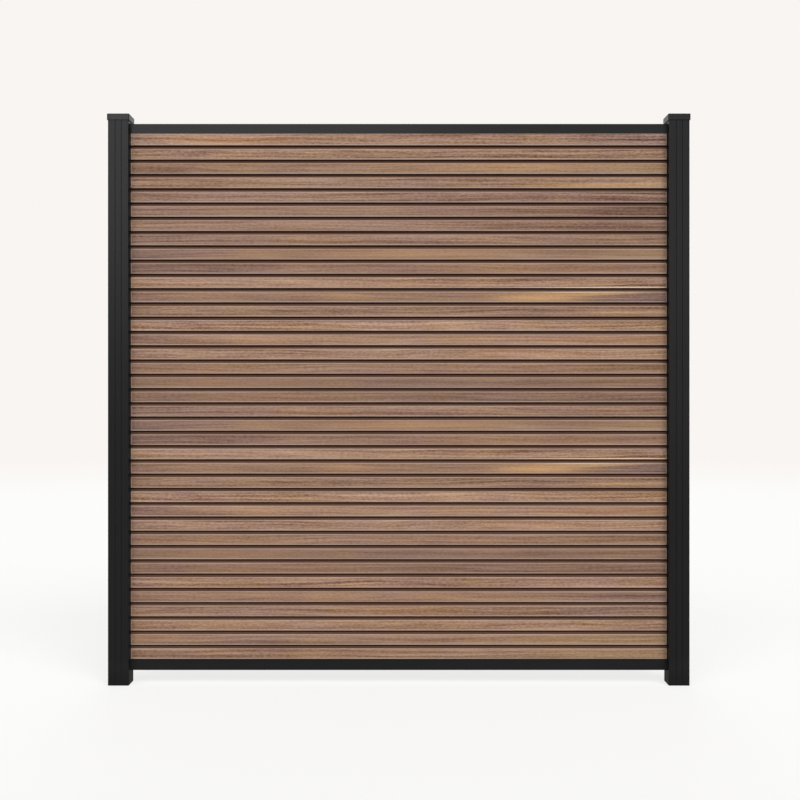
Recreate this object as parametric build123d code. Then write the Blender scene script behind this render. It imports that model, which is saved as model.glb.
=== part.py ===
"""Composite garden screen: slatted tongue-and-groove boards between two channelled aluminium posts.

Sizes are in millimetres. +X runs to the viewer's right, +Y away from the viewer and +Z up.
The origin is on the ground, midway between the posts, in the middle of their depth.
Left-hand pieces are modelled in place, and their right-hand partners are mirror images.
"""
from build123d import *

import os

# Screen
BOARD_LENGTH = 1800.0
BOARD_COUNT = 12
SLATS_PER_BOARD = 3
GROUND_GAP = 45.8

# Slatted composite board
BOARD_THICKNESS = 21.0
SLAT_FACE = 35.4
SLAT_GAP = 11.6
SLAT_BEVEL = 1.2
WEB_THICKNESS = 9.0
BOARD_WALL = 4.5
CHAMBER_BEVEL = 1.5
TONGUE_LENGTH = 10.0
TONGUE_BEVEL = 1.0
TONGUE_CLEARANCE = 0.4
CLOSING_FACE = 39.6

# Rails
RAIL_WALL = 1.7
RAIL_CLEARANCE = 0.3
BOTTOM_RAIL_BODY = 35.3
BOTTOM_RAIL_LIP = 1.5
STARTER_TONGUE_CLEARANCE = 0.5
TOP_RAIL_HEIGHT = 30.6
RAIL_BEVEL = 0.8

# Post
POST_WIDTH = 68.0
POST_WALL = 2.0
POST_CORNER_RADIUS = 3.0
CHANNEL_WALL = 2.2
CHANNEL_CLEARANCE = 0.5
BOARD_END_COVER = 16.0
BOARD_END_CLEARANCE = 2.0
FACE_GROOVE_DEPTH = 0.9
FACE_GROOVE_SPACING = 20.0
KEY_SETBACK = 5.0
KEY_WIDTH = 2.4
KEY_DEPTH = 1.0
SCREW_PORT_RADIUS = 2.6
SCREW_PORT_WALL = 2.4
SCREW_PORT_INSET = 6.0

# Post cap
CAP_WALL = 2.4
CAP_CLEARANCE = 0.2
CAP_PLATE = 3.0
CAP_HEIGHT = 20.0
CAP_CORNER_RADIUS = 3.0
CAP_BEVEL = 1.2
CAP_RIB_LENGTH = 12.0
CAP_RIB_THICKNESS = 2.0
CAP_RIB_SPACING = 38.0
CAP_RIB_CLEARANCE = 0.3

# Clip-in strip over the open stretches of the channels
STRIP_PLATE = 1.8
STRIP_LEG = 9.0
STRIP_LEG_WALL = 1.5
STRIP_CLEARANCE = 0.3

# Rubber seal between the channel wall and the boards
SEAL_INNER_REACH = 3.0
SEAL_LIP = 2.0
SEAL_EDGE = 0.8
SEAL_CLEARANCE = 0.2
SEAL_KEY_CLEARANCE = 0.2

# Angle brackets and their screws
BRACKET_THICKNESS = 2.5
BRACKET_LEG = 24.0
BRACKET_FOOT = 16.0
BRACKET_SIDE_CLEARANCE = 1.0
BRACKET_TOP_CLEARANCE = 1.3
SCREW_RADIUS = 2.0
SCREW_LENGTH = 8.5
SCREW_HEAD_RADIUS = 4.0
SCREW_HEAD_HEIGHT = 2.4
SCREW_HOLE_CLEARANCE = 0.15
SCREW_POINT_CLEARANCE = 1.0

# Derived places and sizes
SLAT_PITCH = SLAT_FACE + SLAT_GAP
BOARD_COVER = SLATS_PER_BOARD * SLAT_PITCH
RAIL_INSIDE = BOARD_THICKNESS + 2 * RAIL_CLEARANCE
RAIL_WIDTH = RAIL_INSIDE + 2 * RAIL_WALL
SEAT_Z = GROUND_GAP + BOTTOM_RAIL_BODY
CLOSING_Z = SEAT_Z + BOARD_COUNT * BOARD_COVER
TOP_LIP_Z = CLOSING_Z + CLOSING_FACE
TOP_RAIL_Z = TOP_LIP_Z + TOP_RAIL_HEIGHT
CLOSING_TOP_Z = TOP_RAIL_Z + BRACKET_THICKNESS - SCREW_LENGTH - SCREW_POINT_CLEARANCE
POST_HEIGHT = TOP_RAIL_Z + BRACKET_LEG + BRACKET_TOP_CLEARANCE
SCREEN_HEIGHT = POST_HEIGHT + CAP_PLATE

CHANNEL_WIDTH = RAIL_WIDTH + 2 * CHANNEL_CLEARANCE
CHANNEL_DEPTH = BOARD_END_COVER + BOARD_END_CLEARANCE
FLOOR_X = -BOARD_LENGTH / 2 - BOARD_END_CLEARANCE
POST_X = FLOOR_X + CHANNEL_DEPTH - POST_WIDTH / 2
SCREW_PORT_SPACING = POST_WIDTH - 2 * SCREW_PORT_INSET
KEY_INNER_X = FLOOR_X + CHANNEL_DEPTH - KEY_SETBACK
FOOT_STRIP_TOP_Z = GROUND_GAP - BRACKET_THICKNESS - STRIP_CLEARANCE
HEAD_STRIP_Z = TOP_RAIL_Z + BRACKET_THICKNESS + STRIP_CLEARANCE
SCREW_HOLE_RADIUS = SCREW_RADIUS + SCREW_HOLE_CLEARANCE
FOOT_SCREW_X = FLOOR_X + (BRACKET_FOOT + BRACKET_THICKNESS) / 2
LEG_SCREW_OFFSET = (BRACKET_LEG + BRACKET_THICKNESS) / 2
LOW_SCREW_Z = GROUND_GAP - LEG_SCREW_OFFSET
HIGH_SCREW_Z = TOP_RAIL_Z + LEG_SCREW_OFFSET


def box_between(x0, x1, y0, y1, z0, z1):
    """A block given by its limits along each axis."""
    size = (x1 - x0, y1 - y0, z1 - z0)
    return Pos((x0 + x1) / 2, (y0 + y1) / 2, (z0 + z1) / 2) * Box(*size)


def rectangle_between(u0, u1, v0, v1):
    """A sketch rectangle given by its limits."""
    return Pos((u0 + u1) / 2, (v0 + v1) / 2) * Rectangle(u1 - u0, v1 - v0)


def extrude_along_x(section, length):
    """Extrudes a section drawn in depth and height, centred on x = 0."""
    return extrude(Plane.YZ * section, amount=length / 2, both=True)


def foot_hole(rail_z):
    """The left vertical screw hole, through a bracket's foot and the rail face at rail_z."""
    return Pos(FOOT_SCREW_X, 0, rail_z) * Cylinder(SCREW_HOLE_RADIUS, 2 * SCREW_LENGTH)


def leg_hole(z):
    """The left level screw hole at height z, through a bracket's leg and the channel floor."""
    return Pos(FLOOR_X, 0, z) * Rot(0, 90, 0) * Cylinder(SCREW_HOLE_RADIUS, 2 * SCREW_LENGTH)


# Boards

def slat_outline(low, height):
    """One slat, bevelled along its four long edges."""
    half = BOARD_THICKNESS / 2
    return chamfer(rectangle_between(-half, half, low, low + height).vertices(), SLAT_BEVEL)


def slat_chamber(low, high):
    """The hollow inside a slat, between two heights."""
    half = BOARD_THICKNESS / 2 - BOARD_WALL
    return chamfer(rectangle_between(-half, half, low, high).vertices(), CHAMBER_BEVEL)


def socket():
    """The slot in a board's foot for the tongue below it."""
    half = WEB_THICKNESS / 2 + TONGUE_CLEARANCE
    return rectangle_between(-half, half, 0, TONGUE_LENGTH)


def board_section():
    """Slats on a web that runs on upwards as the tongue, with the socket in the lowest slat."""
    web_half = WEB_THICKNESS / 2
    web_top = BOARD_COVER + TONGUE_LENGTH
    web = rectangle_between(-web_half, web_half, TONGUE_LENGTH, web_top)
    section = chamfer(web.vertices().group_by(Axis.Y)[-1], TONGUE_BEVEL)
    slat_feet = [index * SLAT_PITCH for index in range(SLATS_PER_BOARD)]
    for low in slat_feet:
        section += slat_outline(low, SLAT_FACE)
    for low in slat_feet:
        chamber_low = max(low, TONGUE_LENGTH) + BOARD_WALL
        section -= slat_chamber(chamber_low, low + SLAT_FACE - BOARD_WALL)
    return section - socket()


def board(base_z):
    """A whole board with the bottom of its lowest slat at base_z."""
    return Pos(0, 0, base_z) * extrude_along_x(board_section(), BOARD_LENGTH)


def closing_board():
    """The last board: one wide slat on the tongue below it, with its upper edge housed in the top rail."""
    height = CLOSING_TOP_Z - CLOSING_Z
    section = slat_outline(0, height) - socket()
    section -= slat_chamber(TONGUE_LENGTH + BOARD_WALL, height - BOARD_WALL)
    return Pos(0, 0, CLOSING_Z) * extrude_along_x(section, BOARD_LENGTH)


# Rails

def bottom_rail():
    """A hollow rail with two low lips and an upright starter tongue for the lowest board."""
    half = RAIL_WIDTH / 2
    inside = RAIL_INSIDE / 2
    tongue_half = WEB_THICKNESS / 2
    tongue_top = BOTTOM_RAIL_BODY + TONGUE_LENGTH - STARTER_TONGUE_CLEARANCE
    section = rectangle_between(-half, half, 0, BOTTOM_RAIL_BODY + BOTTOM_RAIL_LIP)
    section -= rectangle_between(-inside, inside, BOTTOM_RAIL_BODY, tongue_top)
    section += rectangle_between(-tongue_half, tongue_half, BOTTOM_RAIL_BODY, tongue_top)
    section -= rectangle_between(-inside, inside, RAIL_WALL, BOTTOM_RAIL_BODY - RAIL_WALL)
    hollow_half = tongue_half - RAIL_WALL
    section -= rectangle_between(-hollow_half, hollow_half, RAIL_WALL, tongue_top - RAIL_WALL)
    rail = Pos(0, 0, GROUND_GAP) * extrude_along_x(section, BOARD_LENGTH)
    bottom_edges = rail.edges().filter_by(Axis.X).group_by(Axis.Z)[0]
    rail = chamfer(bottom_edges, RAIL_BEVEL)
    hole = foot_hole(GROUND_GAP)
    return rail - hole - mirror(hole, about=Plane.YZ)


def top_rail():
    """An upturned channel over the closing board's upper edge."""
    half = RAIL_WIDTH / 2
    inside = RAIL_INSIDE / 2
    section = rectangle_between(-half, half, 0, TOP_RAIL_HEIGHT)
    section -= rectangle_between(-inside, inside, 0, TOP_RAIL_HEIGHT - RAIL_WALL)
    rail = Pos(0, 0, TOP_LIP_Z) * extrude_along_x(section, BOARD_LENGTH)
    top_edges = rail.edges().filter_by(Axis.X).group_by(Axis.Z)[-1]
    rail = chamfer(top_edges, RAIL_BEVEL)
    hole = foot_hole(TOP_RAIL_Z)
    return rail - hole - mirror(hole, about=Plane.YZ)


# Posts

def post_section():
    """A square tube with a channel in both sides, keyed channel walls and four screw ports."""
    bore = POST_WIDTH - 2 * POST_WALL
    ports = GridLocations(SCREW_PORT_SPACING, SCREW_PORT_SPACING, 2, 2)
    boss = 2 * (SCREW_PORT_RADIUS + SCREW_PORT_WALL)
    trough_depth = CHANNEL_DEPTH + CHANNEL_WALL
    troughs = GridLocations(POST_WIDTH - trough_depth, 1, 2, 1)
    chamber = Rectangle(bore, bore) - ports * Rectangle(boss, boss)
    chamber -= troughs * Rectangle(trough_depth, CHANNEL_WIDTH + 2 * CHANNEL_WALL)
    section = RectangleRounded(POST_WIDTH, POST_WIDTH, POST_CORNER_RADIUS) - chamber
    section -= ports * Circle(SCREW_PORT_RADIUS)
    channels = GridLocations(POST_WIDTH - CHANNEL_DEPTH, 1, 2, 1)
    section -= channels * Rectangle(CHANNEL_DEPTH, CHANNEL_WIDTH)
    keys = GridLocations(POST_WIDTH - 2 * KEY_SETBACK, CHANNEL_WIDTH, 2, 2)
    section -= keys * Rectangle(KEY_WIDTH, 2 * KEY_DEPTH)
    grooves = GridLocations(FACE_GROOVE_SPACING, POST_WIDTH, 2, 2)
    return section - grooves * RegularPolygon(FACE_GROOVE_DEPTH, side_count=4)


def post():
    """The left post, with the two bracket screw holes in its inner channel floor."""
    shell = Pos(POST_X, 0, 0) * extrude(post_section(), amount=POST_HEIGHT)
    return shell - leg_hole(LOW_SCREW_Z) - leg_hole(HIGH_SCREW_Z)


def post_cap():
    """A bevelled cap with a skirt over the post and two grip ribs in the post's middle chamber."""
    inside = POST_WIDTH + 2 * CAP_CLEARANCE
    outside = inside + 2 * CAP_WALL
    cap = extrude(RectangleRounded(outside, outside, CAP_CORNER_RADIUS), amount=CAP_HEIGHT)
    cap = chamfer(cap.faces().sort_by(Axis.Z)[-1].edges(), CAP_BEVEL)
    cap -= extrude(Rectangle(inside, inside), amount=CAP_HEIGHT - CAP_PLATE)
    rib_width = POST_WIDTH - 2 * (CHANNEL_DEPTH + CHANNEL_WALL + CAP_RIB_CLEARANCE)
    rib = extrude(Rectangle(rib_width, CAP_RIB_THICKNESS), amount=-CAP_RIB_LENGTH)
    under_plate = Pos(0, 0, CAP_HEIGHT - CAP_PLATE)
    cap += under_plate * GridLocations(1, CAP_RIB_SPACING, 1, 2) * rib
    return Pos(POST_X, 0, SCREEN_HEIGHT - CAP_HEIGHT) * cap


def strip_section():
    """A barbed strip across the mouth of a post's left-hand channel, flush with the post's side."""
    half = CHANNEL_WIDTH / 2 - STRIP_CLEARANCE
    low_x = -POST_WIDTH / 2
    section = rectangle_between(low_x, low_x + STRIP_PLATE, -half, half)
    barb_x = low_x + KEY_SETBACK
    barb_reach = half + KEY_DEPTH
    barb_half = KEY_WIDTH / 2 - STRIP_CLEARANCE
    for side in (-1, 1):
        inner = side * (half - STRIP_LEG_WALL)
        low_y, high_y = sorted((inner, side * half))
        section += rectangle_between(low_x, low_x + STRIP_LEG, low_y, high_y)
        barb = Polyline(
            (barb_x - barb_half, inner),
            (barb_x - barb_half, side * barb_reach),
            (barb_x + barb_half, side * half),
            (barb_x + barb_half, inner),
            close=True,
        )
        section += make_face(barb)
    return section


def cover_strip():
    """The strip that closes the left post's unused outer channel."""
    return Pos(POST_X, 0, 0) * extrude(strip_section(), amount=POST_HEIGHT)


def channel_strip(low_z, high_z):
    """A short strip that closes the left post's inner channel, below or above the rails."""
    strip = extrude(strip_section(), amount=high_z - low_z)
    return Pos(POST_X, 0, low_z) * mirror(strip, about=Plane.YZ)


def board_seal(side):
    """A keyed rubber strip on the channel wall whose lip shows on the board faces, front (-1) or back (1)."""
    wall_y = CHANNEL_WIDTH / 2
    face_y = BOARD_THICKNESS / 2 + SEAL_CLEARANCE
    lip_x = KEY_SETBACK + SEAL_LIP
    outline = Polyline(
        (-SEAL_INNER_REACH, wall_y),
        (-SEAL_INNER_REACH, wall_y - SEAL_EDGE),
        (0, face_y),
        (lip_x, face_y),
        (lip_x, face_y + SEAL_EDGE),
        (KEY_SETBACK, wall_y),
        close=True,
    )
    stem_half = KEY_WIDTH / 2 - SEAL_KEY_CLEARANCE
    stem_top = wall_y + KEY_DEPTH - SEAL_KEY_CLEARANCE
    section = make_face(outline) + rectangle_between(-stem_half, stem_half, wall_y, stem_top)
    low_z = SEAT_Z + BOTTOM_RAIL_LIP
    seal = Pos(KEY_INNER_X, 0, low_z) * extrude(section, amount=TOP_LIP_Z - low_z)
    return mirror(seal, about=Plane.XZ) if side < 0 else seal


# Angle brackets and screws

def bracket(rail_z, direction):
    """An angle bracket on the left channel floor, below (-1) or above (1) the rail face at rail_z."""
    half = CHANNEL_WIDTH / 2 - BRACKET_SIDE_CLEARANCE
    far_z = rail_z + direction * BRACKET_LEG
    low, high = sorted((rail_z, far_z))
    angle = box_between(FLOOR_X, FLOOR_X + BRACKET_THICKNESS, -half, half, low, high)
    low, high = sorted((rail_z, rail_z + direction * BRACKET_THICKNESS))
    angle += box_between(FLOOR_X, FLOOR_X + BRACKET_FOOT, -half, half, low, high)
    return angle - foot_hole(rail_z) - leg_hole(rail_z + direction * LEG_SCREW_OFFSET)


def screw():
    """A hexagon-head screw along +Z, with the underside of its head at z = 0 and its shank below."""
    head = extrude(RegularPolygon(SCREW_HEAD_RADIUS, side_count=6), amount=SCREW_HEAD_HEIGHT)
    return head + extrude(Circle(SCREW_RADIUS), amount=-SCREW_LENGTH)


def left_screws():
    """The four screws of the left post's two brackets."""
    leg_x = FLOOR_X + BRACKET_THICKNESS
    sideways = Rot(0, 90, 0)
    upside_down = Rot(180, 0, 0)
    places = [
        Pos(leg_x, 0, LOW_SCREW_Z) * sideways,
        Pos(leg_x, 0, HIGH_SCREW_Z) * sideways,
        Pos(FOOT_SCREW_X, 0, GROUND_GAP - BRACKET_THICKNESS) * upside_down,
        Pos(FOOT_SCREW_X, 0, TOP_RAIL_Z + BRACKET_THICKNESS),
    ]
    return [place * screw() for place in places]


# Assembly

def handed_pieces():
    """The left-hand pieces by name; each has a mirror-image partner on the right."""
    return {
        "post": post(),
        "post_cap": post_cap(),
        "cover_strip": cover_strip(),
        "foot_strip": channel_strip(0, FOOT_STRIP_TOP_Z),
        "head_strip": channel_strip(HEAD_STRIP_Z, POST_HEIGHT),
        "board_seal_front": board_seal(-1),
        "board_seal_back": board_seal(1),
        "bottom_rail_bracket": bracket(GROUND_GAP, -1),
        "top_rail_bracket": bracket(TOP_RAIL_Z, 1),
    }


def all_pieces():
    """Every node of the screen by name."""
    pieces = {"bottom_rail": bottom_rail(), "top_rail": top_rail()}
    for number in range(1, BOARD_COUNT + 1):
        pieces[f"board_{number:02d}"] = board(SEAT_Z + (number - 1) * BOARD_COVER)
    pieces["closing_board"] = closing_board()
    for name, piece in handed_pieces().items():
        pieces[f"{name}_left"] = piece
        pieces[f"{name}_right"] = mirror(piece, about=Plane.YZ)
    screws = left_screws()
    screws += [mirror(one, about=Plane.YZ) for one in screws]
    pieces["bracket_screws"] = Compound(children=screws)
    return pieces


def main():
    os.makedirs("parts", exist_ok=True)
    for name, piece in all_pieces().items():
        export_step(piece, f"parts/{name}.step")


main()
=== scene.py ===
"""Finishes, light and camera for the composite garden screen, in metres."""

import math
from typing import NamedTuple

import bmesh
import bpy
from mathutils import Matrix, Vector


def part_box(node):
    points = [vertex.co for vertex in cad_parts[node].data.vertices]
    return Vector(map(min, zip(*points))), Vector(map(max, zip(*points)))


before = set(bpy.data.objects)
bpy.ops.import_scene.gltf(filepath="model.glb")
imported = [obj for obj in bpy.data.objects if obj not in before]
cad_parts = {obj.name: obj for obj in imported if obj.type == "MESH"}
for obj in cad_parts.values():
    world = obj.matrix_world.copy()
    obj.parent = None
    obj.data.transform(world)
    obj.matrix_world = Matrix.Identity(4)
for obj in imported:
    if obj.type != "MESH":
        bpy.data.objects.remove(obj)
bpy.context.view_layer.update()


class Layer(NamedTuple):
    """One noise layer: its repeats per metre along, into and up the screen, and how rough it is."""

    along: float
    into: float
    up: float
    detail: float
    roughness: float
    bend: float = 0.0


class Span(NamedTuple):
    """What the values of a noise layer from low to high become."""

    low: float
    high: float
    to_low: float
    to_high: float


class Relief(NamedTuple):
    """A fine relief: how far it rises, and how strongly it shows."""

    depth: float
    strength: float


class Run(NamedTuple):
    """How one stretch of board has come out.

    Its lean from rosy brown to tan, how strong its streaks are, and the levels of its three slats from
    the foot up, against the mean.
    """

    tan: float
    contrast: float
    foot: float
    middle: float
    head: float


class Figure(NamedTuple):
    """A patch of another colour in a board.

    Its middle along the screen and up from the board's foot, its half sizes, how much it climbs to the
    right, and how strong it is.
    """

    colour: str
    middle: float
    height: float
    half_length: float
    half_height: float
    climb: float
    strength: float


class Coat(NamedTuple):
    """A black coat: how rough it is, and how strongly it mirrors."""

    roughness: float
    specular: float


class Metal(NamedTuple):
    """A bare metal: the noise layer of its marks, its two greys and their roughness, and its relief."""

    marks: Layer
    dark: tuple
    bright: tuple
    dark_roughness: float
    bright_roughness: float
    relief: Relief


class Sun(NamedTuple):
    """A wide soft light: where it comes from, in degrees round from the front to the right, and its level."""

    azimuth: float
    level: float


class Panel(NamedTuple):
    """A panel that smooth surfaces mirror.

    Its middle, its size, its power in watts, its tilt from facing down, and its turn.
    """

    place: tuple
    size: tuple
    power: float
    tilt: float
    turn: float


def srgb(red, green, blue):
    """A colour as it looks on screen, from 0 to 255, as linear red, green, blue and alpha."""
    linear = []
    for value in (red, green, blue):
        share = value / 255
        linear.append(share / 12.92 if share <= 0.04045 else ((share + 0.055) / 1.055) ** 2.4)
    return (*linear, 1.0)


# Sizes of the boards, from the frame and the slat section
BOARD_NAMES = [f"board_{number:02d}" for number in range(1, 13)]
SLATS_PER_BOARD = 3
BOARD_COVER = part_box("board_02")[0].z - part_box("board_01")[0].z
BOARD_HALF_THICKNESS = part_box("board_01")[1].y
VISIBLE_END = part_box("board_seal_front_right")[0].x
SLAT_PITCH = BOARD_COVER / SLATS_PER_BOARD
SLAT_FACE = 0.0354
SLAT_BEVEL = 0.0012

# Heights of the middles of a board's three slats above its foot
FOOT = SLAT_FACE / 2
MIDDLE = FOOT + SLAT_PITCH
HEAD = MIDDLE + SLAT_PITCH

# Colours of the composite
ROSY_BROWN = srgb(149, 117, 102)
TAN_BROWN = srgb(158, 125, 99)
STRAND_BROWN = srgb(112, 82, 68)
# Painted shade in the grooves: a shaded brown at their foot, and a painted shadow at their head under the
# slat above
GROOVE_SHADE_FOOT = srgb(99, 71, 55)
GROOVE_SHADOW_HEAD = srgb(56, 28, 15)
# Grey of the painted highlights along the slat edges
EDGE_HIGHLIGHT_GREY = srgb(184, 163, 152)
STREAK_TINT = srgb(152, 133, 120)[:3]
FIGURE_COLOURS = {
    "golden": srgb(200, 157, 113),
    "orange": srgb(180, 137, 103),
    "pale": srgb(180, 149, 129),
    "straw": srgb(168, 139, 107),
    "mauve": srgb(122, 97, 92),
    "umber": srgb(112, 83, 68),
    "cream": srgb(232, 206, 176),
}

# How the stretches of board have come out
RUNS = {
    1: Run(0.65, 1.05, 0.97, 0.96, 1.07),
    2: Run(0.55, 1.05, 0.96, 0.91, 1.04),
    3: Run(0.50, 0.70, 0.80, 0.80, 0.94),
    4: Run(0.55, 1.20, 1.03, 1.02, 1.06),
    5: Run(0.65, 1.00, 0.84, 0.89, 1.03),
    6: Run(0.45, 0.75, 0.90, 0.98, 0.91),
    7: Run(0.15, 0.95, 0.92, 0.91, 0.86),
    8: Run(0.70, 1.15, 0.87, 0.94, 0.98),
    9: Run(0.55, 1.45, 1.03, 1.03, 1.03),
}

# The stretch that each board is, from the bottom board up, then the closing board: four come round twice
BOARD_RUNS = [1, 2, 3, 4, 5, 6, 3, 4, 5, 6, 7, 8, 9]

# How strong the streaks are on the foot, middle and head slat of a board
SLAT_CONTRASTS = (0.91, 0.68, 1.12)

# Figures in the slat faces, by stretch of board; the umber and mauve figures at the right ends are partly the
# board's own tone and partly painted shade towards the right post
FIGURES = {
    1: [
        Figure("pale", -0.26, HEAD, 0.26, 0.022, 0.00, 0.3),
        Figure("umber", 0.88, HEAD, 0.25, 0.028, 0.00, 0.25),
        Figure("mauve", -0.48, MIDDLE, 0.30, 0.026, 0.00, 0.35),
        Figure("mauve", -0.15, MIDDLE, 0.15, 0.022, 0.00, 0.25),
        Figure("straw", 0.78, MIDDLE, 0.45, 0.026, 0.00, 0.65),
        Figure("mauve", -0.86, FOOT, 0.28, 0.026, 0.00, 0.25),
        Figure("straw", 0.74, FOOT, 0.45, 0.026, 0.00, 0.55),
    ],
    2: [
        Figure("mauve", 0.12, HEAD, 0.22, 0.020, 0.00, 0.2),
        Figure("orange", -0.28, MIDDLE, 0.18, 0.018, 0.00, 0.3),
        Figure("orange", 0.12, MIDDLE, 0.18, 0.016, 0.00, 0.45),
        Figure("mauve", 0.84, MIDDLE, 0.42, 0.028, 0.00, 0.55),
        Figure("mauve", -0.55, FOOT, 0.36, 0.026, 0.00, 0.25),
        Figure("orange", -0.02, FOOT, 0.22, 0.020, 0.00, 0.4),
        Figure("mauve", 0.70, FOOT, 0.34, 0.026, 0.00, 0.35),
    ],
    3: [
        Figure("umber", -0.40, HEAD, 0.24, 0.022, 0.00, 0.15),
        Figure("umber", 0.82, HEAD, 0.30, 0.028, 0.00, 0.25),
        Figure("umber", -0.84, MIDDLE, 0.20, 0.026, 0.00, 0.2),
        Figure("orange", -0.58, MIDDLE, 0.24, 0.020, 0.00, 0.4),
        Figure("mauve", 0.10, MIDDLE, 0.26, 0.024, 0.00, 0.4),
        Figure("umber", 0.52, MIDDLE, 0.28, 0.024, 0.00, 0.2),
        Figure("orange", -0.42, FOOT, 0.26, 0.020, 0.00, 0.4),
        Figure("pale", -0.08, FOOT, 0.22, 0.022, 0.00, 0.35),
        Figure("mauve", 0.16, FOOT, 0.22, 0.020, 0.00, 0.3),
        Figure("umber", 0.64, FOOT, 0.38, 0.028, 0.00, 0.45),
    ],
    4: [
        Figure("mauve", -0.84, MIDDLE, 0.24, 0.028, 0.00, 0.35),
        Figure("orange", -0.46, MIDDLE, 0.18, 0.016, -0.02, 0.35),
        Figure("pale", -0.02, MIDDLE, 0.14, 0.020, 0.00, 0.35),
        Figure("orange", 0.70, MIDDLE, 0.40, 0.020, 0.00, 0.35),
        Figure("umber", -0.76, FOOT, 0.30, 0.026, 0.00, 0.2),
        Figure("pale", 0.02, FOOT, 0.32, 0.022, 0.00, 0.4),
        Figure("orange", 0.46, FOOT, 0.26, 0.018, 0.00, 0.4),
    ],
    5: [
        Figure("pale", -0.44, HEAD, 0.46, 0.026, 0.00, 0.45),
        Figure("umber", 0.80, HEAD, 0.44, 0.030, 0.00, 0.5),
        Figure("pale", -0.54, MIDDLE, 0.28, 0.020, 0.00, 0.25),
        Figure("golden", -0.17, MIDDLE, 0.12, 0.016, 0.00, 0.35),
        Figure("umber", 0.04, MIDDLE, 0.16, 0.022, 0.00, 0.25),
        Figure("mauve", 0.84, MIDDLE, 0.28, 0.026, 0.00, 0.75),
        Figure("golden", 0.46, MIDDLE, 0.19, 0.024, 0.02, 0.9),
        Figure("golden", 0.62, MIDDLE + 0.012, 0.24, 0.005, 0.02, 0.8),
        Figure("umber", 0.38, FOOT, 0.28, 0.022, 0.00, 0.3),
        Figure("golden", 0.74, FOOT - 0.007, 0.24, 0.012, 0.02, 0.6),
    ],
    6: [
        Figure("mauve", -0.86, HEAD, 0.34, 0.028, 0.00, 0.45),
        Figure("mauve", -0.90, MIDDLE, 0.40, 0.030, 0.00, 0.75),
        Figure("golden", 0.02, MIDDLE, 0.30, 0.018, 0.01, 0.3),
        Figure("straw", 0.42, MIDDLE, 0.16, 0.020, 0.00, 0.4),
        Figure("straw", 0.84, MIDDLE, 0.26, 0.024, 0.00, 0.55),
        Figure("umber", 0.58, MIDDLE, 0.18, 0.022, 0.00, 0.25),
        Figure("mauve", -0.86, FOOT, 0.46, 0.030, 0.00, 0.65),
        Figure("umber", -0.14, FOOT, 0.30, 0.024, 0.00, 0.15),
        Figure("orange", 0.42, FOOT, 0.46, 0.022, 0.00, 0.2),
    ],
    7: [
        Figure("pale", -0.48, HEAD, 0.30, 0.022, 0.00, 0.45),
        Figure("umber", 0.02, HEAD, 0.28, 0.026, 0.00, 0.2),
        Figure("umber", 0.84, HEAD, 0.26, 0.028, 0.00, 0.25),
        Figure("pale", -0.10, MIDDLE, 0.45, 0.022, 0.00, 0.2),
        Figure("umber", 0.82, MIDDLE, 0.46, 0.032, 0.00, 0.85),
        Figure("pale", -0.10, FOOT, 0.45, 0.022, 0.00, 0.3),
        Figure("umber", 0.72, FOOT, 0.42, 0.030, 0.00, 0.5),
    ],
    8: [
        Figure("pale", -0.45, HEAD, 0.42, 0.024, 0.00, 0.35),
        Figure("mauve", 0.02, HEAD, 0.28, 0.024, 0.00, 0.2),
        Figure("mauve", 0.48, HEAD, 0.34, 0.024, 0.00, 0.2),
        Figure("mauve", -0.86, MIDDLE, 0.24, 0.026, 0.00, 0.25),
        Figure("mauve", -0.35, MIDDLE, 0.12, 0.022, 0.00, 0.4),
        Figure("golden", 0.40, MIDDLE, 0.36, 0.020, 0.01, 0.35),
        Figure("straw", 0.82, MIDDLE, 0.30, 0.024, 0.00, 0.5),
        Figure("mauve", -0.08, FOOT, 0.24, 0.024, 0.00, 0.25),
        Figure("golden", 0.70, FOOT - 0.004, 0.30, 0.014, 0.02, 0.7),
    ],
    9: [
        Figure("mauve", -0.88, FOOT, 0.22, 0.032, 0.00, 0.45),
        Figure("orange", -0.56, FOOT, 0.30, 0.022, 0.00, 0.5),
        Figure("pale", -0.10, FOOT, 0.34, 0.024, 0.00, 0.4),
        Figure("mauve", 0.86, FOOT, 0.38, 0.032, 0.00, 0.65),
    ],
}

# Painted highlights: bright lines just inside slat edges, by stretch of board
EDGE_LINE_INSET = 0.0015
HEAD_SLAT_LOWER_LINE = HEAD - SLAT_FACE / 2 + EDGE_LINE_INSET
MIDDLE_SLAT_UPPER_LINE = MIDDLE + SLAT_FACE / 2 - EDGE_LINE_INSET
EDGE_HIGHLIGHT_FIGURES = {
    5: [
        Figure("cream", 0.74, HEAD_SLAT_LOWER_LINE, 0.36, 0.0035, 0.0, 0.9),
        Figure("cream", 0.62, MIDDLE_SLAT_UPPER_LINE, 0.22, 0.0045, 0.0, 0.55),
    ],
}

# Noise layers of the composite, and how far they shift from one stretch of board to the next
WAVES = Layer(1.6, 0, 12, 1, 0.5)
CLOUDS = Layer(4.5, 6, 22, 2, 0.55, 0.3)
STREAKS = Layer(1.5, 40, 150, 4, 0.5, 0.15)
FIBRES = Layer(8, 100, 190, 3, 0.5)
STRANDS = Layer(1.3, 30, 170, 3, 0.5, 0.15)
PALE_STRANDS = Layer(1.2, 30, 125, 3, 0.5, 0.3)
GRAIN = Layer(80, 200, 240, 3, 0.6)
# EDGE_HIGHLIGHT_BREAKUP breaks up the painted edge highlights along the boards
EDGE_HIGHLIGHT_BREAKUP = Layer(1.4, 4, 30, 2, 0.5)
RUN_SHIFT = 31.7

# Most of a noise layer lies between these values
NOISE_LOW = 0.3
NOISE_HIGH = 0.7

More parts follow.
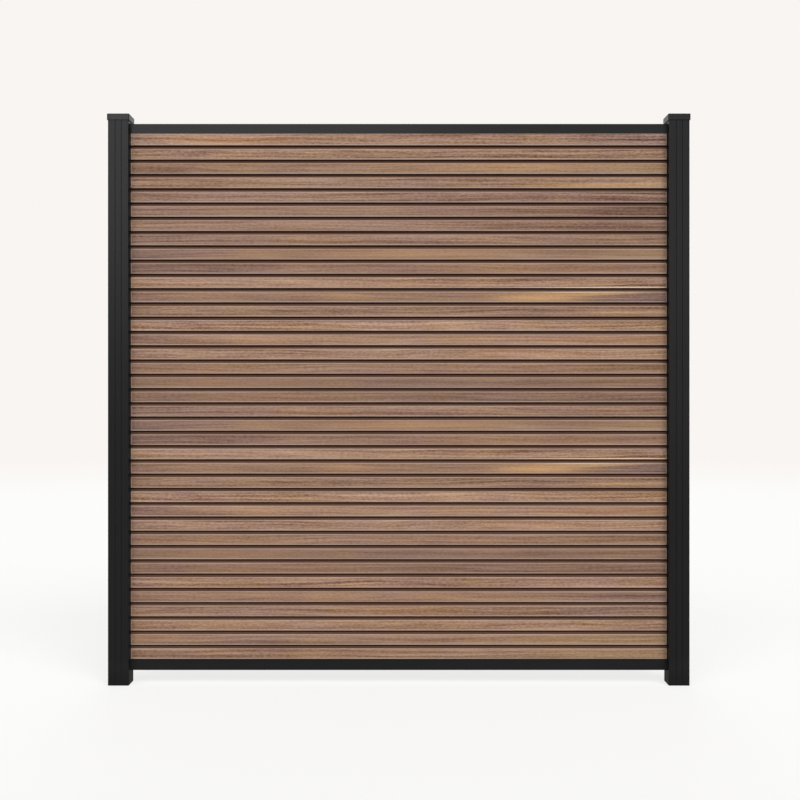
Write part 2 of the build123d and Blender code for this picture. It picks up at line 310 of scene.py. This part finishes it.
# What those layers do: rises of the streaks, shares of other colours, and changes of level
WAVE_RISE = Span(0.25, 0.75, -0.006, 0.006)
STRAND_SHARE = Span(0.56, 0.76, 0.0, 0.14)
PALE_STRAND_SHARE = Span(0.60, 0.76, 0.0, 0.4)
STREAK_LEVEL = Span(0.28, 0.80, -0.24, 0.38)
FIBRE_LEVEL = Span(0.28, 0.72, -0.13, 0.13)
GRAIN_LEVEL = Span(NOISE_LOW, NOISE_HIGH, -0.17, 0.17)
EDGE_HIGHLIGHT_BREAKUP_LEVEL = Span(NOISE_LOW, NOISE_HIGH, 0.65, 1.3)
FIGURE_RAGGEDNESS = Span(NOISE_LOW, NOISE_HIGH, -0.25, 0.25)
COMPOSITE_ROUGHNESS = Span(NOISE_LOW, NOISE_HIGH, 0.74, 0.6)

# Lean of a stretch that is as much rosy brown as tan, how far a lean moves that balance, and its softness
EVEN_LEAN = 0.5
LEAN_SWING = 0.3
LEAN_SOFTNESS = 0.2

# Where a figure begins to fade and where it ends, in shares of its half sizes
FIGURE_CORE = 0.2
FIGURE_RIM = 1.2

# Painted highlights: pale lines along the lower and upper edges of the slats and at their ends
LOWER_EDGE_WIDTH = 0.0065
LOWER_EDGE_SHARE = 0.82
UPPER_EDGE_WIDTH = 0.0048
UPPER_EDGE_SHARE = 0.65
END_EDGE_WIDTH = 0.0048
END_EDGE_SHARE = 0.6

# Painted shade towards the posts: where it starts from the middle of the screen, and the level at the posts
END_SHADE_START = 0.66
END_SHADE_LEVEL = 0.95

# Painted shade in the grooves: where it darkens below the slat above, and how far behind the slat faces it
# takes its colour
GROOVE_DARK_START = 0.0075
GROOVE_DARK_END = 0.003
GROOVE_RIM_DEPTH = 0.0003
GROOVE_FULL_DEPTH = 0.0028

COMPOSITE_SPECULAR = 0.06
COMPOSITE_RELIEF = Relief(0.0004, 0.3)


class Graph:
    """The nodes of one material or world, with short calls for those that are used here."""

    def __init__(self, owner, output_kind="ShaderNodeOutputMaterial"):
        owner.use_nodes = True
        self.owner = owner
        self.tree = owner.node_tree
        self.tree.nodes.clear()
        self.output = self.add(output_kind)

    def add(self, kind, **settings):
        node = self.tree.nodes.new(kind)
        for key, value in settings.items():
            setattr(node, key, value)
        return node

    def feed(self, socket, value):
        """Links an output to a socket, or sets the socket to a constant."""
        if isinstance(value, bpy.types.NodeSocket):
            self.tree.links.new(value, socket)
        else:
            socket.default_value = value

    def place(self):
        return self.add("ShaderNodeTexCoord").outputs["Object"]

    def parts(self, vector):
        node = self.add("ShaderNodeSeparateXYZ")
        self.feed(node.inputs[0], vector)
        return node.outputs

    def calculate(self, operation, first, second=0.0):
        node = self.add("ShaderNodeMath", operation=operation)
        self.feed(node.inputs[0], first)
        self.feed(node.inputs[1], second)
        return node.outputs[0]

    def product(self, *values):
        result = values[0]
        for value in values[1:]:
            result = self.calculate("MULTIPLY", result, value)
        return result

    def total(self, *values):
        result = values[0]
        for value in values[1:]:
            result = self.calculate("ADD", result, value)
        return result

    def spread(self, value, low, high, to_low, to_high):
        """Value from low to high becomes to_low to to_high, with a soft start and end."""
        node = self.add("ShaderNodeMapRange", interpolation_type="SMOOTHSTEP")
        for socket, given in zip(node.inputs, (value, low, high, to_low, to_high)):
            self.feed(socket, given)
        return node.outputs[0]

    def vary(self, noise, to_low, to_high):
        """A noise layer as a value from to_low to to_high."""
        return self.spread(noise, NOISE_LOW, NOISE_HIGH, to_low, to_high)

    def stretch(self, vector, scale, shift):
        node = self.add("ShaderNodeMapping")
        self.feed(node.inputs["Vector"], vector)
        self.feed(node.inputs["Scale"], scale)
        self.feed(node.inputs["Location"], shift)
        return node.outputs[0]

    def lift(self, vector, amount):
        """The place moved up by an amount."""
        rise = self.add("ShaderNodeCombineXYZ")
        self.feed(rise.inputs["Z"], amount)
        node = self.add("ShaderNodeVectorMath", operation="ADD")
        self.feed(node.inputs[0], vector)
        self.feed(node.inputs[1], rise.outputs[0])
        return node.outputs[0]

    def length(self, vector):
        node = self.add("ShaderNodeVectorMath", operation="LENGTH")
        self.feed(node.inputs[0], vector)
        return node.outputs["Value"]

    def noise(self, place, layer, shift=(0.0, 0.0, 0.0)):
        node = self.add("ShaderNodeTexNoise")
        self.feed(node.inputs["Vector"], self.stretch(place, (layer.along, layer.into, layer.up), shift))
        self.feed(node.inputs["Scale"], 1.0)
        self.feed(node.inputs["Detail"], layer.detail)
        self.feed(node.inputs["Roughness"], layer.roughness)
        self.feed(node.inputs["Distortion"], layer.bend)
        return node.outputs[0]

    def blend(self, share, first, second):
        """A colour between first and second."""
        node = self.add("ShaderNodeMix", data_type="RGBA")
        self.feed(node.inputs[0], share)
        self.feed(node.inputs[6], first)
        self.feed(node.inputs[7], second)
        return node.outputs[2]

    def dim(self, colour, factor):
        """The colour times a factor."""
        node = self.add("ShaderNodeVectorMath", operation="SCALE")
        self.feed(node.inputs[0], colour)
        self.feed(node.inputs["Scale"], factor)
        return node.outputs[0]

    def add_tint(self, colour, amount, tint):
        """The colour plus an amount of a tint."""
        node = self.add("ShaderNodeVectorMath", operation="MULTIPLY_ADD")
        self.feed(node.inputs[0], amount)
        self.feed(node.inputs[1], tint)
        self.feed(node.inputs[2], colour)
        return node.outputs[0]

    def relief(self, height, form):
        """A normal for a surface that rises by the form's depth where height is 1."""
        node = self.add("ShaderNodeBump")
        self.feed(node.inputs["Height"], height)
        self.feed(node.inputs["Distance"], form.depth)
        self.feed(node.inputs["Strength"], form.strength)
        return node.outputs[0]

    def mix_shaders(self, share, first, second):
        node = self.add("ShaderNodeMixShader")
        self.feed(node.inputs[0], share)
        self.feed(node.inputs[1], first)
        self.feed(node.inputs[2], second)
        return node.outputs[0]

    def seen_directly(self):
        """1 for rays from the camera, from gloss and through glass, and 0 for light that falls on things."""
        path = self.add("ShaderNodeLightPath")
        seen = self.calculate("MAXIMUM", path.outputs["Is Camera Ray"], path.outputs["Is Glossy Ray"])
        return self.calculate("MAXIMUM", seen, path.outputs["Is Transmission Ray"])

    def finish(self, **inputs):
        """Ends the material in one surface shader; names use _ for the spaces in its sockets."""
        shader = self.add("ShaderNodeBsdfPrincipled")
        for name, value in inputs.items():
            self.feed(shader.inputs[name.replace("_", " ")], value)
        self.feed(self.output.inputs["Surface"], shader.outputs[0])
        return self.owner


# The composite boards

def figure_mask(graph, place, figure, base_height, ragged):
    """The figure's strength in its middle and 0 outside it, with a ragged outline."""
    axes = graph.parts(place)
    from_middle = graph.calculate("SUBTRACT", axes["X"], figure.middle)
    along = graph.calculate("DIVIDE", from_middle, figure.half_length)
    height = graph.calculate("SUBTRACT", axes["Z"], base_height + figure.height)
    level_height = graph.calculate("SUBTRACT", height, graph.product(from_middle, figure.climb))
    up = graph.calculate("DIVIDE", level_height, figure.half_height)
    square = graph.total(graph.product(along, along), graph.product(up, up))
    distance = graph.total(graph.calculate("SQRT", square), ragged)
    return graph.spread(distance, FIGURE_CORE, FIGURE_RIM, figure.strength, 0.0)


def draw_figures(graph, colour, place, figures, base_height, streaks):
    """The colour with each of the figures blended over it."""
    ragged = graph.spread(streaks, *FIGURE_RAGGEDNESS)
    for figure in figures:
        mask = figure_mask(graph, place, figure, base_height, ragged)
        colour = graph.blend(mask, colour, FIGURE_COLOURS[figure.colour])
    return colour


def slat_position(graph, place, start_height, pitch):
    """Height within the repeat of slats that starts at start_height."""
    height = graph.calculate("SUBTRACT", graph.parts(place)["Z"], start_height)
    return graph.calculate("FLOORED_MODULO", height, pitch)


def by_slat(graph, place, base_height, foot, middle, head):
    """The value for the slat that a place is on: the foot, middle or head slat of its board."""
    height = graph.parts(place)["Z"]
    above_foot = graph.calculate("GREATER_THAN", height, base_height + SLAT_PITCH)
    above_middle = graph.calculate("GREATER_THAN", height, base_height + 2 * SLAT_PITCH)
    return graph.total(
        foot,
        graph.product(above_foot, middle - foot),
        graph.product(above_middle, head - middle),
    )


def distance_from_middle(graph, place):
    """How far a place is to the left or right of the middle of the screen."""
    return graph.calculate("ABSOLUTE", graph.parts(place)["X"])


def streaky_brown(graph, run_noise, place, run, contrast):
    """Rosy brown and tan in clouds, with dark and golden strands along the board."""
    balance = EVEN_LEAN - (run.tan - EVEN_LEAN) * LEAN_SWING
    clouds = run_noise(place, CLOUDS)
    tan_share = graph.spread(clouds, balance - LEAN_SOFTNESS, balance + LEAN_SOFTNESS, 0.0, 1.0)
    colour = graph.blend(tan_share, ROSY_BROWN, TAN_BROWN)
    strand_share = graph.spread(run_noise(place, STRANDS), *STRAND_SHARE)
    colour = graph.blend(graph.product(strand_share, contrast), colour, STRAND_BROWN)
    pale_share = graph.spread(run_noise(place, PALE_STRANDS), *PALE_STRAND_SHARE)
    return graph.blend(graph.product(pale_share, contrast), colour, FIGURE_COLOURS["golden"])


def board_level(graph, place, base_height, run):
    """How light the board is: each slat has its own level, with painted shade making it a little less towards
    the posts.
    """
    slat_level = by_slat(graph, place, base_height, run.foot, run.middle, run.head)
    from_middle = distance_from_middle(graph, place)
    painted_end_shade = graph.spread(from_middle, END_SHADE_START, VISIBLE_END, 1.0, END_SHADE_LEVEL)
    return graph.product(slat_level, painted_end_shade)


def painted_edge_highlights(graph, colour, place, base_height, face, pitch, highlight_breakup):
    """Painted highlights: greyer lines along the lower and upper edges of each slat and at its ends, broken
    up by a noise layer.
    """
    position = slat_position(graph, place, base_height, pitch)
    lower = graph.spread(position, 0.0, LOWER_EDGE_WIDTH, LOWER_EDGE_SHARE, 0.0)
    upper = graph.spread(position, face - UPPER_EDGE_WIDTH, face, 0.0, UPPER_EDGE_SHARE)
    highlight_level = graph.spread(highlight_breakup, *EDGE_HIGHLIGHT_BREAKUP_LEVEL)
    long_edges = graph.product(graph.calculate("MAXIMUM", lower, upper), highlight_level)
    from_middle = distance_from_middle(graph, place)
    ends = graph.spread(from_middle, VISIBLE_END - END_EDGE_WIDTH, VISIBLE_END, 0.0, END_EDGE_SHARE)
    return graph.blend(graph.calculate("MAXIMUM", long_edges, ends), colour, EDGE_HIGHLIGHT_GREY)


def painted_groove_shade(graph, colour, place, base_height, pitch):
    """Painted shade in the grooves between the slats, with a painted shadow darkest at their head and on the
    underside of the slat above.
    """
    position = slat_position(graph, place, base_height + SLAT_BEVEL, pitch)
    groove_head = SLAT_PITCH - SLAT_BEVEL
    dark_start = groove_head - GROOVE_DARK_START
    dark_end = groove_head - GROOVE_DARK_END
    floor = graph.blend(graph.spread(position, dark_start, dark_end, 0.0, 1.0), GROOVE_SHADE_FOOT, GROOVE_SHADOW_HEAD)
    reach = graph.calculate("ABSOLUTE", graph.parts(place)["Y"])
    full_reach = BOARD_HALF_THICKNESS - GROOVE_FULL_DEPTH
    rim_reach = BOARD_HALF_THICKNESS - GROOVE_RIM_DEPTH
    return graph.blend(graph.spread(reach, full_reach, rim_reach, 1.0, 0.0), colour, floor)


def composite(name, base_height, face, pitch, run_number):
    """Capped composite of one board: streaks along it, with painted shade in the grooves and towards the
    posts, and painted highlights on the slat edges.
    """
    graph = Graph(bpy.data.materials.new(name))
    run = RUNS[run_number]
    shift = run_number * RUN_SHIFT

    def run_noise(noise_place, layer):
        return graph.noise(noise_place, layer, (shift, 0.0, shift - base_height * layer.up))

    place = graph.place()
    wavy_place = graph.lift(place, graph.spread(run_noise(place, WAVES), *WAVE_RISE))
    streaks = run_noise(wavy_place, STREAKS)
    fibres = run_noise(wavy_place, FIBRES)
    grain = run_noise(wavy_place, GRAIN)

    # The browns and the figures, at the level of their slat, with painted shade towards the posts
    contrast = graph.product(by_slat(graph, place, base_height, *SLAT_CONTRASTS), run.contrast)
    colour = streaky_brown(graph, run_noise, wavy_place, run, contrast)
    colour = draw_figures(graph, colour, wavy_place, FIGURES[run_number], base_height, streaks)
    colour = graph.dim(colour, board_level(graph, place, base_height, run))

    # Lighter and darker streaks, fibres and grain
    streak_level = graph.total(
        graph.spread(streaks, *STREAK_LEVEL),
        graph.spread(fibres, *FIBRE_LEVEL),
        graph.spread(grain, *GRAIN_LEVEL),
    )
    colour = graph.add_tint(colour, graph.product(streak_level, contrast), STREAK_TINT)

    # Painted highlights on the slat edges, and painted shade in the grooves
    colour = painted_edge_highlights(graph, colour, place, base_height, face, pitch, run_noise(place, EDGE_HIGHLIGHT_BREAKUP))
    # Painted highlights: brighter cream lines along some slat edges
    colour = draw_figures(graph, colour, place, EDGE_HIGHLIGHT_FIGURES.get(run_number, []), base_height, streaks)
    colour = painted_groove_shade(graph, colour, place, base_height, pitch)

    return graph.finish(
        Base_Color=colour,
        Roughness=graph.spread(streaks, *COMPOSITE_ROUGHNESS),
        Specular_IOR_Level=COMPOSITE_SPECULAR,
        Normal=graph.relief(graph.total(fibres, streaks, grain), COMPOSITE_RELIEF),
    )


def dress(node_name, material):
    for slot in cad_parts[node_name].material_slots:
        slot.material = material


def dress_boards():
    for name, run_number in zip(BOARD_NAMES, BOARD_RUNS):
        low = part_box(name)[0]
        dress(name, composite(f"composite_{name}", low.z, SLAT_FACE, SLAT_PITCH, run_number))


def dress_closing_board():
    """The closing board's one slat shows up to the top rail, and its repeat of slats never comes round."""
    low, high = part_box("closing_board")
    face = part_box("top_rail")[0].z - low.z
    pitch = 2 * (high.z - low.z)
    dress("closing_board", composite("composite_closing_board", low.z, face, pitch, BOARD_RUNS[-1]))


# The black coats of the posts, rails, caps and strips

COATS = {
    "powder_coat": Coat(0.34, 0.13),
    "cap_coat": Coat(0.28, 0.16),
    "strip_coat": Coat(0.42, 0.2),
}
COAT_PEEL = Layer(1500, 1500, 1500, 2, 0.5)
COAT_MOTTLE = Layer(260, 260, 260, 3, 0.6)
COAT_DRIFT = Layer(3, 3, 2, 2, 0.5)
COAT_BLACK = srgb(16, 16, 17)
COAT_PALER_BLACK = srgb(19, 19, 20)
MOTTLE_LEVELS = (0.85, 1.15)
MOTTLE_ROUGHNESS_LEVELS = (0.92, 1.08)
SPLASH_LOW_HEIGHT = 0.02
SPLASH_HIGH_HEIGHT = 0.1
SPLASH_ROUGHNESS = 0.8
COAT_RELIEF = Relief(0.0001, 0.25)


def black_coat(name):
    """Fine-textured black coat, dulled by splashes near the ground."""
    coat = COATS[name]
    graph = Graph(bpy.data.materials.new(name))
    place = graph.place()
    mottle = graph.noise(place, COAT_MOTTLE)
    drift = graph.vary(graph.noise(place, COAT_DRIFT), 0.0, 1.0)
    colour = graph.blend(drift, COAT_BLACK, COAT_PALER_BLACK)
    height = graph.parts(place)["Z"]
    roughness = graph.spread(height, SPLASH_LOW_HEIGHT, SPLASH_HIGH_HEIGHT, SPLASH_ROUGHNESS, coat.roughness)
    return graph.finish(
        Base_Color=graph.dim(colour, graph.vary(mottle, *MOTTLE_LEVELS)),
        Roughness=graph.product(roughness, graph.vary(mottle, *MOTTLE_ROUGHNESS_LEVELS)),
        Specular_IOR_Level=coat.specular,
        Normal=graph.relief(graph.noise(place, COAT_PEEL), COAT_RELIEF),
    )


# The rubber and the bare metals

RUBBER_SKIN = Layer(900, 900, 300, 3, 0.6)
RUBBER_BLACK = srgb(10, 10, 10)
RUBBER_PALER_BLACK = srgb(18, 18, 18)
RUBBER_ROUGHNESSES = (0.75, 0.9)
RUBBER_SPECULAR = 0.08
RUBBER_RELIEF = Relief(0.0002, 0.4)

MILL_LINES = Layer(60, 900, 900, 4, 0.6)
SMUDGES = Layer(300, 300, 300, 3, 0.6)
ALUMINIUM = Metal(
    MILL_LINES, srgb(168, 170, 172), srgb(200, 201, 203), 0.3, 0.46, Relief(0.0001, 0.2)
)
STEEL = Metal(
    SMUDGES, srgb(150, 150, 150), srgb(186, 186, 188), 0.22, 0.36, Relief(0.00005, 0.2)
)


def seal_rubber():
    """Matt black rubber."""
    graph = Graph(bpy.data.materials.new("seal_rubber"))
    skin = graph.noise(graph.place(), RUBBER_SKIN)
    return graph.finish(
        Base_Color=graph.blend(graph.vary(skin, 0.0, 1.0), RUBBER_BLACK, RUBBER_PALER_BLACK),
        Roughness=graph.vary(skin, *RUBBER_ROUGHNESSES),
        Specular_IOR_Level=RUBBER_SPECULAR,
        Normal=graph.relief(skin, RUBBER_RELIEF),
    )


def bare_metal(name, metal):
    """Bare metal with fine marks: lines from rolling on aluminium, and faint smudges on steel."""
    graph = Graph(bpy.data.materials.new(name))
    marks = graph.noise(graph.place(), metal.marks)
    return graph.finish(
        Base_Color=graph.blend(graph.vary(marks, 0.0, 1.0), metal.dark, metal.bright),
        Metallic=1.0,
        Roughness=graph.vary(marks, metal.dark_roughness, metal.bright_roughness),
        Normal=graph.relief(marks, metal.relief),
    )


def dress_metal_and_rubber():
    """Each node takes the first finish whose word is in its name; the boards' names hold none of them."""
    powder_coat = black_coat("powder_coat")
    finishes = {
        "screws": bare_metal("screw_steel", STEEL),
        "bracket": bare_metal("bracket_aluminium", ALUMINIUM),
        "seal": seal_rubber(),
        "strip": black_coat("strip_coat"),
        "cap": black_coat("cap_coat"),
        "post": powder_coat,
        "rail": powder_coat,
    }
    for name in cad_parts:
        fitting = [material for word, material in finishes.items() if word in name]
        if fitting:
            dress(name, fitting[0])


# The stage

BACKDROP = srgb(249, 245, 242)
FLOOR_HALF_SIZE = 150.0

# The floor shows as a grey that takes shadows, lifted towards white, and it throws back less light than that
FLOOR_SEEN = (0.78, 0.78, 0.78, 1.0)
FLOOR_BOUNCE = (0.35, 0.35, 0.35, 1.0)
FLOOR_WHITE = srgb(254, 254, 252)
FLOOR_LIFT = 0.72

# Distances from the screen between which the floor fades into the backdrop
FADE_START = 6.0
FADE_END = 15.0

# Light from all round, wide soft lights, and panels for the sheen on the coats
WORLD_COLOUR = (1.0, 1.0, 1.0, 1.0)
WORLD_LEVEL = 0.55
SUN_ELEVATION = 40.0
SUN_WIDTH = 30.0
SUNS = {
    "sun_right": Sun(34.0, 1.68),
    "sun_left": Sun(-34.0, 0.98),
    "sun_back": Sun(180.0, 0.6),
}
PANELS = {
    "panel_left": Panel((-1.35, -4.4, 3.0), (3.5, 2.6), 112.0, 64.0, -8.0),
    "panel_right": Panel((2.0, -4.4, 2.0), (2.4, 2.6), 26.0, 76.0, 15.0),
}


def floor_material():
    """Pale floor that keeps the shadow and fades into the backdrop far away."""
    graph = Graph(bpy.data.materials.new("floor"))
    seen = graph.seen_directly()
    matt = graph.add("ShaderNodeBsdfDiffuse")
    graph.feed(matt.inputs["Color"], graph.blend(seen, FLOOR_BOUNCE, FLOOR_SEEN))
    glow = graph.add("ShaderNodeEmission")
    graph.feed(glow.inputs["Color"], FLOOR_WHITE)
    near = graph.mix_shaders(graph.product(seen, FLOOR_LIFT), matt.outputs[0], glow.outputs[0])
    far = graph.add("ShaderNodeBsdfTransparent").outputs[0]
    fade = graph.spread(graph.length(graph.place()), FADE_START, FADE_END, 0.0, 1.0)
    graph.feed(graph.output.inputs["Surface"], graph.mix_shaders(fade, near, far))
    return graph.owner


def add_floor():
    mesh = bpy.data.meshes.new("floor")
    shape = bmesh.new()
    bmesh.ops.create_grid(shape, x_segments=1, y_segments=1, size=FLOOR_HALF_SIZE)
    shape.to_mesh(mesh)
    shape.free()
    mesh.materials.append(floor_material())
    floor = bpy.data.objects.new("floor", mesh)
    bpy.context.scene.collection.objects.link(floor)


def add_world():
    """Soft white fill from all round, seen as the pale backdrop."""
    world = bpy.data.worlds.new("studio")
    graph = Graph(world, "ShaderNodeOutputWorld")
    fill = graph.add("ShaderNodeBackground")
    graph.feed(fill.inputs["Color"], WORLD_COLOUR)
    graph.feed(fill.inputs["Strength"], WORLD_LEVEL)
    backdrop = graph.add("ShaderNodeBackground")
    graph.feed(backdrop.inputs["Color"], BACKDROP)
    surface = graph.mix_shaders(graph.seen_directly(), fill.outputs[0], backdrop.outputs[0])
    graph.feed(graph.output.inputs["Surface"], surface)
    bpy.context.scene.world = world


def add_suns():
    """Wide soft lights from above: two from the front, one on each side, and a faint one from behind."""
    for name, sun in SUNS.items():
        lamp = bpy.data.lights.new(name, "SUN")
        lamp.energy = sun.level
        lamp.angle = math.radians(SUN_WIDTH)
        light = bpy.data.objects.new(name, lamp)
        light.rotation_euler = (math.radians(90 - SUN_ELEVATION), 0.0, math.radians(sun.azimuth))
        bpy.context.scene.collection.objects.link(light)


def add_panels():
    """Panels in front of the screen, to the left and right, that only show as a sheen on smooth surfaces."""
    for name, panel in PANELS.items():
        lamp = bpy.data.lights.new(name, "AREA")
        lamp.shape = "RECTANGLE"
        lamp.size, lamp.size_y = panel.size
        lamp.energy = panel.power
        card = bpy.data.objects.new(name, lamp)
        card.location = panel.place
        card.rotation_euler = (math.radians(panel.tilt), 0.0, math.radians(panel.turn))
        card.visible_camera = False
        card.visible_diffuse = False
        bpy.context.scene.collection.objects.link(card)


# Where the photograph was taken from, with a 50 mm lens on a full-frame sensor
CAMERA_SIDE = 0.0041
CAMERA_HEIGHT = 0.9346
CAMERA_DISTANCE = 3.635
CAMERA_LENS_MM = 50.0
CAMERA_SENSOR_MM = 36.0


def add_camera():
    """A camera that looks level along +Y."""
    data = bpy.data.cameras.new("camera")
    data.lens = CAMERA_LENS_MM
    data.sensor_width = CAMERA_SENSOR_MM
    camera = bpy.data.objects.new("camera", data)
    post_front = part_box("post_left")[0].y
    camera.location = (CAMERA_SIDE, post_front - CAMERA_DISTANCE, CAMERA_HEIGHT)
    camera.rotation_euler = (math.radians(90), 0.0, 0.0)
    bpy.context.scene.collection.objects.link(camera)
    bpy.context.scene.camera = camera


dress_boards()
dress_closing_board()
dress_metal_and_rubber()
add_floor()
add_world()
add_suns()
add_panels()
add_camera()
bpy.context.scene.view_settings.view_transform = "Standard"
